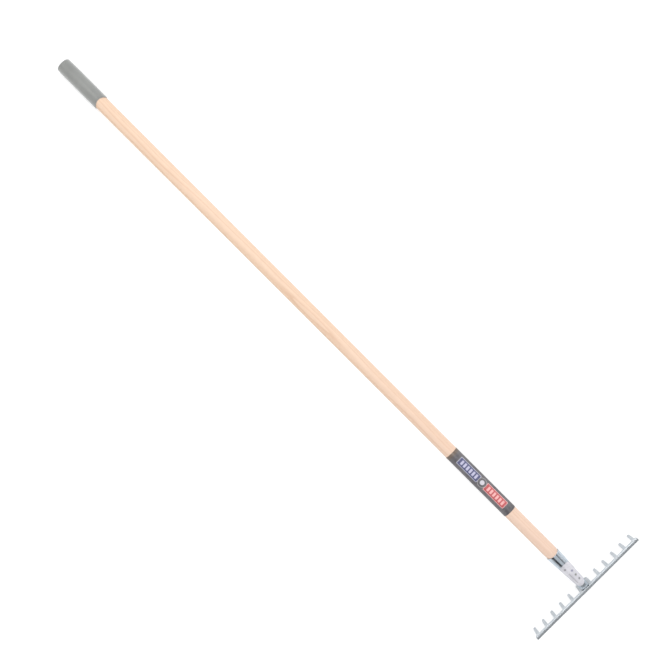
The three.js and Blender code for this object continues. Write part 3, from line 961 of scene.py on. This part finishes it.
# %% [markdown]
# ## Zinc
#
# Hot-dipped zinc freezes in flat crystals, called spangle, each with its own faint brightness.
# Cells from a Voronoi texture vary the colour and the roughness a little, fine noise breaks up
# the reflections, and a darker tarnish gathers in slow patches. The bright socket and the duller
# head are the same recipe with other numbers, so one function makes both.

# %% Zinc finish


def zinc_finish(name, bright, dull, polish, spangle, tarnish, scratch_axis):
    material, tree, shader = new_finish(name)
    place = handle_place(tree)
    cells = add(tree, "ShaderNodeTexVoronoi", {"Vector": place, "Scale": spangle}).outputs["Color"]
    cell = add(tree, "ShaderNodeSeparateColor", {0: cells}).outputs
    slow = noise(tree, place, 45.0, 4.0, 0.6)
    fine = noise(tree, place, 700.0, 3.0, 0.6)
    scratch = noise(tree, scaled(tree, place, scratch_axis), 1.0, 2.0)
    dullness = maths(tree, "MULTIPLY_ADD", cell[0], 0.35, remap(tree, slow, 0.35, 0.7, 0.0, tarnish))
    colour = mixed(tree, dullness, bright, dull)
    colour = mixed(tree, remap(tree, scratch, 0.62, 0.74, 0.0, 0.3), colour, rgb(236, 240, 244))
    rough = maths(tree, "MULTIPLY_ADD", cell[1], 0.07, polish)
    rough = maths(tree, "MULTIPLY_ADD", remap(tree, slow, 0.4, 0.7), 0.10, rough)
    rough = maths(tree, "MULTIPLY_ADD", fine, 0.05, rough)
    fill(tree, shader, {"Base Color": colour, "Roughness": rough, "Metallic": 1.0})
    height = maths(tree, "MULTIPLY_ADD", fine, 0.4, maths(tree, "MULTIPLY", cell[2], 0.5))
    bumped(tree, shader, height, 0.10, 0.00012)
    return material


SOCKET_ZINC = zinc_finish(
    "galvanised_socket", rgb(222, 231, 239), rgb(190, 201, 212), 0.10, 190.0, 0.35, (12, 1500, 1500)
)
socket.data.materials.append(SOCKET_ZINC)
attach(socket, "root")
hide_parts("socket")

# %% [markdown]
# ## Sticker on the socket
#
# A pale silvery sticker lies over the top of the socket. It is the same rolled rule with a
# little lift, cut to a rounded outline, so it hugs the cone exactly. Its print is only rows of
# small dark marks.

# %% Sticker shape
STICKER_LIFT = 0.12 * MM
STICKER_WALL = 0.2 * MM
STICKER_ARCH = 6 * MM
STICKER_NOSE = 13 * MM
STICKER_ROWS = 60
STICKER_COLUMNS = 49
sticker_first, sticker_last, _ = span("socket_sticker")
sticker_start = (sticker_first - mouth_first) / math.cos(CONE_FALL)
sticker_length = (sticker_last - sticker_first) / math.cos(CONE_FALL)
STICKER_HALF_TURN = math.radians(71)


def sticker_grid(lift):
    points = []
    for r in range(STICKER_ROWS):
        part = r / (STICKER_ROWS - 1)
        part = part * part * (3 - 2 * part) * 0.5 + part * 0.5
        along = sticker_length * part
        half = STICKER_HALF_TURN * (mouth_radius - SOCKET_TAPER * (sticker_start + along))
        inward = max(0.0, 1 - along / STICKER_ARCH, 1 - (sticker_length - along) / STICKER_NOSE)
        half *= max(math.sqrt(1 - inward ** 2), 0.02)
        for c in range(STICKER_COLUMNS):
            across = 2 * c / (STICKER_COLUMNS - 1) - 1
            points.append(rolled(sticker_start + along, across * half, lift))
    return points


patch_points, patch_faces = closed_sheet(
    sticker_grid(STICKER_LIFT + STICKER_WALL), sticker_grid(STICKER_LIFT), STICKER_ROWS, STICKER_COLUMNS
)
sticker = new_piece("socket_label", patch_points, patch_faces, TO_WORLD)
map_print(sticker, sticker_first, sticker_last - sticker_first, 2 * STICKER_HALF_TURN)
print("sticker:", len(sticker.data.polygons), "faces")

# %% Sticker finish
STICKER_LONG = (sticker_last - sticker_first) / MM
STICKER_WIDE = 2 * STICKER_HALF_TURN * (mouth_radius / MM - 4.0)
STICKER_RIM = 1.2
STICKER_MARKS = ((20.4, rgb(128, 128, 156)), (31.6, rgb(120, 122, 112)), (42.4, rgb(116, 118, 116)))


def sticker_finish():
    material, tree, shader = new_finish("pale_sticker")
    x, y = print_place(tree, STICKER_LONG, STICKER_WIDE)
    place = handle_place(tree)
    sheen = noise(tree, place, 70.0, 3.0)
    ground = mixed(tree, remap(tree, sheen, 0.35, 0.7), rgb(224, 222, 228), rgb(206, 205, 211))
    line = bars_mask(tree, x, y, 21.5, 47.0, 2.6, 0.62, -4.9, 0.8)
    line = maths(tree, "MAXIMUM", line, disc_mask(tree, x, y, (9.6, -4.6), 1.9, 0.3))
    ink = mixed(tree, maths(tree, "MULTIPLY", line, 0.75), ground, rgb(110, 104, 108))
    for middle, tint in STICKER_MARKS:
        mark = disc_mask(tree, x, y, (middle, 4.1), 2.2, 0.3)
        ink = mixed(tree, maths(tree, "MULTIPLY", mark, 0.8), ink, tint)
    half = (STICKER_LONG / 2 - STICKER_RIM, STICKER_WIDE / 2 - STICKER_RIM)
    inner = box_mask(tree, x, y, (STICKER_LONG / 2, 0.0), half, 7.0)
    rim = maths(tree, "SUBTRACT", 1.0, inner)
    ink = mixed(tree, maths(tree, "MULTIPLY", rim, 0.35), ink, rgb(176, 172, 178))
    rough = remap(tree, sheen, 0.3, 0.7, 0.22, 0.38)
    fill(tree, shader, {"Base Color": ink, "Roughness": rough, "Metallic": 0.15})
    bumped(tree, shader, noise(tree, place, 260.0, 2.0), 0.08, 0.0001)
    return material


sticker.data.materials.append(sticker_finish())
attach(sticker, "root")
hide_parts("socket_sticker")

# %% [markdown]
# ## Pressed head
#
# The head is one steel pressing: a flange along the back, a web, and teeth that taper to round
# tips. Every tooth is the same, so we model one 25 mm tile of flange, web and tooth as a thin
# surface, let a geometry tree repeat it along the bar, and clamp the outer tiles to the bar's
# length. Thickness comes last, from Solidify, so the wall is even everywhere, as in real sheet.

# %% One tooth tile
head_low, head_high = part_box("rake_head")
SHEET = 3.2 * MM
HEAD_HEIGHT = head_high.z - head_low.z
FLANGE = head_high.x - head_low.x
TEETH = 12
BAR_HALF = (head_high.y - head_low.y) / 2
PITCH = 25 * MM
WEB_HEIGHT = 9.5 * MM
ROOT_FILLET = 3 * MM
ROOT_HALF = 3.5 * MM
TIP_HALF = 2.3 * MM
RIB = 0.8 * MM
BEVEL = 0.8 * MM
WEB_STOPS = (3.0, 4.5, 6.0, 7.5, 8.7)


def section_path():
    """Middle of the sheet from the flange's edge over the bend and down the web, as (x, z)."""
    half = SHEET / 2
    top = HEAD_HEIGHT - half
    path = [(FLANGE, top), (half + 1.2 * MM, top), (half, top)]
    for down in WEB_STOPS:
        path.append((half, HEAD_HEIGHT - down * MM))
    return path


def tile_columns():
    """Places across one tile, with more of them round the tooth and its fillets."""
    side = [ROOT_HALF / 3, ROOT_HALF * 2 / 3, ROOT_HALF]
    side += [ROOT_HALF + ROOT_FILLET * (1 - math.cos(math.pi / 2 * i / 6)) for i in range(1, 7)]
    side += [8.0 * MM, 9.6 * MM, 11.0 * MM, PITCH / 2]
    return [-y for y in reversed(side)] + [0.0] + side


def fillet_drop(y):
    """How far the web's lower edge hangs below its root line beside a tooth."""
    run = min(max((abs(y) - ROOT_HALF) / ROOT_FILLET, 0.0), 1.0)
    return ROOT_FILLET * (1 - math.sqrt(1 - (1 - run) ** 2))


def tile_mesh():
    columns = tile_columns()
    root = HEAD_HEIGHT - WEB_HEIGHT
    points, faces = [], []
    path = section_path()
    count = len(columns)
    for x, z in path:
        points += [(x, y, z) for y in columns]
    faces += grid_faces(len(path), count)
    above = (len(path) - 1) * count
    edge = len(points)
    points += [(SHEET / 2, y, root - fillet_drop(y)) for y in columns]
    faces += [(above + c, above + c + 1, edge + c + 1, edge + c) for c in range(count - 1)]
    tooth = [c for c, y in enumerate(columns) if abs(y) <= ROOT_HALF + 1e-9]
    last = [edge + c for c in tooth]
    start = root - ROOT_FILLET
    levels = [start * (1 - i / 16) + TIP_HALF * i / 16 for i in range(1, 17)]
    levels += [TIP_HALF * (1 - math.sin(math.pi / 2 * i / 6)) for i in range(1, 7)]
    for z in levels:
        if z >= TIP_HALF:
            half = blend_to(TIP_HALF, ROOT_HALF, (z - TIP_HALF) / (start - TIP_HALF))
        else:
            half = math.sqrt(max(TIP_HALF ** 2 - (TIP_HALF - z) ** 2, (0.12 * TIP_HALF) ** 2))
        rib_here = RIB * smooth_step(z, 0.0, 9 * MM) * smooth_step(HEAD_HEIGHT - 7 * MM - z, 0.0, 12 * MM)
        row = []
        for c in tooth:
            share = columns[c] / ROOT_HALF
            row.append(len(points))
            points.append((SHEET / 2 - rib_here * (1 - share * share), share * half, z))
        faces += [(last[i], last[i + 1], row[i + 1], row[i]) for i in range(len(row) - 1)]
        last = row
    return points, faces


tile_points, tile_faces = tile_mesh()
tile = new_piece("tooth_tile", tile_points, tile_faces)
print("tooth tile:", len(tile.data.polygons), "faces")

# %% [markdown]
# The tree lays points along the bar, puts the tile on each and makes the copies real. The mesh
# code in the next cell welds the tiles and pulls the outer two back inside the bar's length.

# %% Repeat the tile along the bar
COMB_SIZES = {"Object": ("Tile",), "Int": ("Teeth",), "Float": ("Pitch",), "Material": ("Finish",)}


def comb_tree():
    tree, size, end = geometry_tree("comb_of_teeth", COMB_SIZES)
    steps = maths(tree, "SUBTRACT", size["Teeth"], 1.0)
    first = maths(tree, "MULTIPLY", maths(tree, "MULTIPLY", steps, size["Pitch"]), -0.5)
    start = add(tree, "ShaderNodeCombineXYZ", {1: first}).outputs[0]
    offset = add(tree, "ShaderNodeCombineXYZ", {1: size["Pitch"]}).outputs[0]
    spacing = {"Count": size["Teeth"], "Start Location": start, "Offset": offset}
    line = add(tree, "GeometryNodeMeshLine", spacing).outputs[0]
    shape = add(tree, "GeometryNodeObjectInfo", {"Object": size["Tile"]}).outputs["Geometry"]
    copies = add(tree, "GeometryNodeInstanceOnPoints", {"Points": line, "Instance": shape}).outputs[0]
    return close_tree(tree, end, copies, size["Finish"])


HEAD_ZINC = zinc_finish(
    "galvanised_head", rgb(219, 224, 228), rgb(197, 204, 210), 0.22, 120.0, 0.55, (1500, 1500, 26)
)
# Painted shade on the teeth: it starts at the first height and is full below the second.
TEETH_SHADE_FROM = 47 * MM
TEETH_SHADE_FULL = 40 * MM
TEETH_SHADE_SHARE = 0.2


def shade_teeth_below_web(material):
    """Paints shade on the zinc below the web, so the teeth come out a little darker than the web."""
    tree = material.node_tree
    shader = tree.nodes["Principled BSDF"]
    colour = shader.inputs["Base Color"].links[0].from_socket
    place = add(tree, "ShaderNodeTexCoord").outputs["Object"]
    height = add(tree, "ShaderNodeSeparateXYZ", {0: place}).outputs[2]
    # Painted shade: below the web the zinc is mixed towards a darker grey.
    wear_and_painted_shade = remap(tree, height, TEETH_SHADE_FROM, TEETH_SHADE_FULL, 0.0, TEETH_SHADE_SHARE)
    fill(tree, shader, {"Base Color": mixed(tree, wear_and_painted_shade, colour, rgb(165, 170, 175))})


shade_teeth_below_web(HEAD_ZINC)
head = new_piece("pressed_head", [(0, 0, 0)], [])
grow(head, comb_tree(), {
    "Tile": tile, "Teeth": TEETH, "Pitch": PITCH, "Finish": HEAD_ZINC,
})
bpy.data.objects.remove(tile)
print("comb surface:", len(head.data.polygons), "faces")

# %% Finish the pressing
END_DROP = 4.6 * MM


def shape_bar_ends(mesh):
    """Cuts the bar to length and sweeps the web's lower corners in towards the last teeth."""
    edge = PITCH * (TEETH - 1) / 2 + ROOT_HALF
    low = HEAD_HEIGHT - WEB_HEIGHT - ROOT_FILLET
    rise = HEAD_HEIGHT - END_DROP - low
    for v in mesh.vertices:
        v.co.y = min(max(v.co.y, -BAR_HALF), BAR_HALF)
        share = min(max((abs(v.co.y) - edge) / (BAR_HALF - edge), 0.0), 1.0)
        if share > 0:
            v.co.z = max(v.co.z, low + rise * (1 - math.sqrt(1 - share * share)))


shape_bar_ends(head.data)
clean(head.data, 0.02 * MM, 0.01 * MM)
head.data.transform(Matrix.Translation((head_low.x, 0, head_low.z)))
wall = head.modifiers.new("sheet_wall", "SOLIDIFY")
wall.thickness = SHEET
wall.offset = 0.0
wall.use_even_offset = True
baked(head)
soften(head, BEVEL, 3, 40)
for v in head.data.vertices:
    v.co.z = max(v.co.z, head_low.z)
    v.co.y = min(max(v.co.y, head_low.y), head_high.y)
head.data.shade_smooth()
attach(head, "root")
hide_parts("rake_head")
print("head:", len(head.data.polygons), "faces, box", [round(v / MM, 1) for v in head.dimensions])

# %% [markdown]
# ## Weld beads
#
# A hand-laid bead is a row of overlapping, cooled ripples. A geometry tree puts one flattened
# drop every millimetre or so down the corner between tongue and web, each a little different
# but the same on every run because the seed is fixed. A voxel remesh melts the drops together.

# %% Weld beads
BEAD_SIZES = {"Float": ("Length", "Radius"), "Int": ("Ripples", "Seed"), "Material": ("Finish",)}
BEAD_RIPPLES = 5
BEAD_SEED = 11
BEAD_ROUND_ENDS = 1.6 * MM
BEAD_OVERLAP = 0.1 * MM
BEAD_FULLNESS = 0.92
BEAD_GRAIN = 0.22 * MM
DROP_WIDTHS = (0.86, 1.08)
DROP_HEIGHT = 0.55


def bead_tree():
    tree, size, end = geometry_tree("ripple_bead", BEAD_SIZES)
    steps = maths(tree, "SUBTRACT", size["Ripples"], 1.0)
    gap = maths(tree, "DIVIDE", size["Length"], steps)
    start = add(tree, "ShaderNodeCombineXYZ", {2: maths(tree, "MULTIPLY", size["Length"], -0.5)}).outputs[0]
    offset = add(tree, "ShaderNodeCombineXYZ", {2: gap}).outputs[0]
    spacing = {"Count": size["Ripples"], "Start Location": start, "Offset": offset}
    line = add(tree, "GeometryNodeMeshLine", spacing).outputs[0]
    drop = add(tree, "GeometryNodeMeshIcoSphere", {"Radius": size["Radius"], "Subdivisions": 3}).outputs[0]
    width = add(tree, "FunctionNodeRandomValue", {"Seed": size["Seed"]}, data_type="FLOAT")
    fill(tree, width, {2: DROP_WIDTHS[0], 3: DROP_WIDTHS[1]})
    scale = {0: width.outputs[1], 1: width.outputs[1], 2: DROP_HEIGHT}
    scale = add(tree, "ShaderNodeCombineXYZ", scale).outputs[0]
    inputs = {"Points": line, "Instance": drop, "Scale": scale}
    copies = add(tree, "GeometryNodeInstanceOnPoints", inputs).outputs[0]
    return close_tree(tree, end, copies, size["Finish"])


def weld_finish():
    material, tree, shader = new_finish("weld_metal")
    place = handle_place(tree)
    slow = noise(tree, place, 300.0, 3.0)
    fine = noise(tree, place, 2200.0, 2.0)
    colour = mixed(tree, remap(tree, slow, 0.35, 0.65), rgb(150, 154, 158), rgb(112, 112, 112))
    rough = maths(tree, "MULTIPLY_ADD", fine, 0.25, 0.32)
    fill(tree, shader, {"Base Color": colour, "Roughness": rough, "Metallic": 1.0})
    bumped(tree, shader, fine, 0.4, 0.00008)
    return material


WELD_METAL = weld_finish()
BEAD_TREE = bead_tree()
for turn, (name, node) in enumerate((("bead_left", "weld_left"), ("bead_right", "weld_right"))):
    low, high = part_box(node)
    bead = new_piece(name, [(0, 0, 0)], [])
    reach = (high.x - low.x) * BEAD_FULLNESS
    grow(bead, BEAD_TREE, {
        "Length": high.z - low.z - BEAD_ROUND_ENDS, "Ripples": BEAD_RIPPLES, "Radius": reach,
        "Seed": BEAD_SEED + turn, "Finish": WELD_METAL,
    })
    side = 1 if low.y > 0 else -1
    inner = low.y if side > 0 else high.y
    corner = (high.x + BEAD_OVERLAP, inner + side * BEAD_OVERLAP, (low.z + high.z) / 2)
    bead.data.transform(Matrix.Translation(corner))
    melt = bead.modifiers.new("melt", "REMESH")
    melt.mode = "VOXEL"
    melt.voxel_size = BEAD_GRAIN
    baked(bead)
    bead.data.materials.clear()
    bead.data.materials.append(WELD_METAL)
    bead.data.shade_smooth()
    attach(bead, "root")
    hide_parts(node)
    print(name, len(bead.data.polygons), "faces")

# %% [markdown]
# ## Fixing screw
#
# One pan-head screw goes through the socket beside its seam, out of sight underneath. The head
# is a turned dome whose middle is pushed in by a cross-shaped rule, deepest at the centre, which
# keeps the recess a clean part of the same surface.

# %% Screw shape
SCREW_FROM_MOUTH = 26 * MM
SCREW_TURN = math.radians(150)
SCREW_HEAD = 3.7 * MM
SCREW_RISE = 2.0 * MM
SCREW_SHANK = 1.9 * MM
SCREW_DEPTH = 13 * MM
SCREW_FACETS = 96
RECESS_ARM = 2.0 * MM
RECESS_SLOT = 0.48 * MM
RECESS_DEPTH = 1.3 * MM


def screw_profile():
    """(radius, height over the seat) from the point, up the shank and over the dome."""
    profile = [(0.0, -SCREW_DEPTH), (SCREW_SHANK, -SCREW_DEPTH + 3 * MM), (SCREW_SHANK, -0.05 * MM)]
    profile += [(SCREW_HEAD - 0.3 * MM, 0.0), (SCREW_HEAD, 0.25 * MM)]
    for i in range(1, 25):
        bend = math.pi / 2 * i / 24
        rise = 0.45 * SCREW_RISE + 0.55 * SCREW_RISE * math.sin(bend)
        profile.append((SCREW_HEAD * math.cos(bend) ** 0.6, rise))
    return profile


def cross_recess(x, y):
    """How deep the cross is pressed in at a place on the screw's head."""
    thin = min(abs(x), abs(y))
    long = max(abs(x), abs(y))
    inside = smooth_step(RECESS_SLOT - thin, -0.08 * MM, 0.12 * MM)
    inside *= smooth_step(RECESS_ARM - long, -0.1 * MM, 0.3 * MM)
    return inside * (RECESS_DEPTH - 0.35 * long)


def screw_points():
    seat = mouth_radius - SOCKET_TAPER * SCREW_FROM_MOUTH + 0.15 * MM
    spin = Matrix.Rotation(-SCREW_TURN, 4, "X")
    place = Matrix.Translation((mouth_first + SCREW_FROM_MOUTH, 0, 0)) @ spin
    points = []
    for radius, rise in screw_profile():
        for i in range(SCREW_FACETS):
            a = 2 * math.pi * i / SCREW_FACETS
            x, y = radius * math.cos(a), radius * math.sin(a)
            dip = cross_recess(x, y) if rise > 0.5 * SCREW_RISE else 0.0
            points.append(place @ Vector((x, y, seat + rise - dip)))
    return points


screw_grid = screw_points()
screw_faces = grid_faces(len(screw_grid) // SCREW_FACETS, SCREW_FACETS, True)
screw = new_piece("pan_screw", screw_grid, screw_faces, TO_WORLD)


def screw_finish():
    material, tree, shader = new_finish("screw_steel")
    place = handle_place(tree)
    slow = noise(tree, place, 500.0, 3.0)
    colour = mixed(tree, slow, rgb(205, 208, 212), rgb(160, 162, 160))
    rough = remap(tree, slow, 0.3, 0.7, 0.18, 0.36)
    fill(tree, shader, {"Base Color": colour, "Roughness": rough, "Metallic": 1.0})
    bumped(tree, shader, noise(tree, place, 3000.0, 2.0), 0.15, 0.00005)
    return material


screw.data.materials.append(screw_finish())
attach(screw, "root")
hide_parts("fixing_screw")
print("screw:", len(screw.data.polygons), "faces")

# %% [markdown]
# ## Boxes
#
# The dressed pieces are meant to stay inside the measured ones, so we print the dressed box to set beside
# the measured box printed at the start.

# %% Sizes
low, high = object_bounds()
print("visual box:", [round(v, 4) for v in low], [round(v, 4) for v in high])
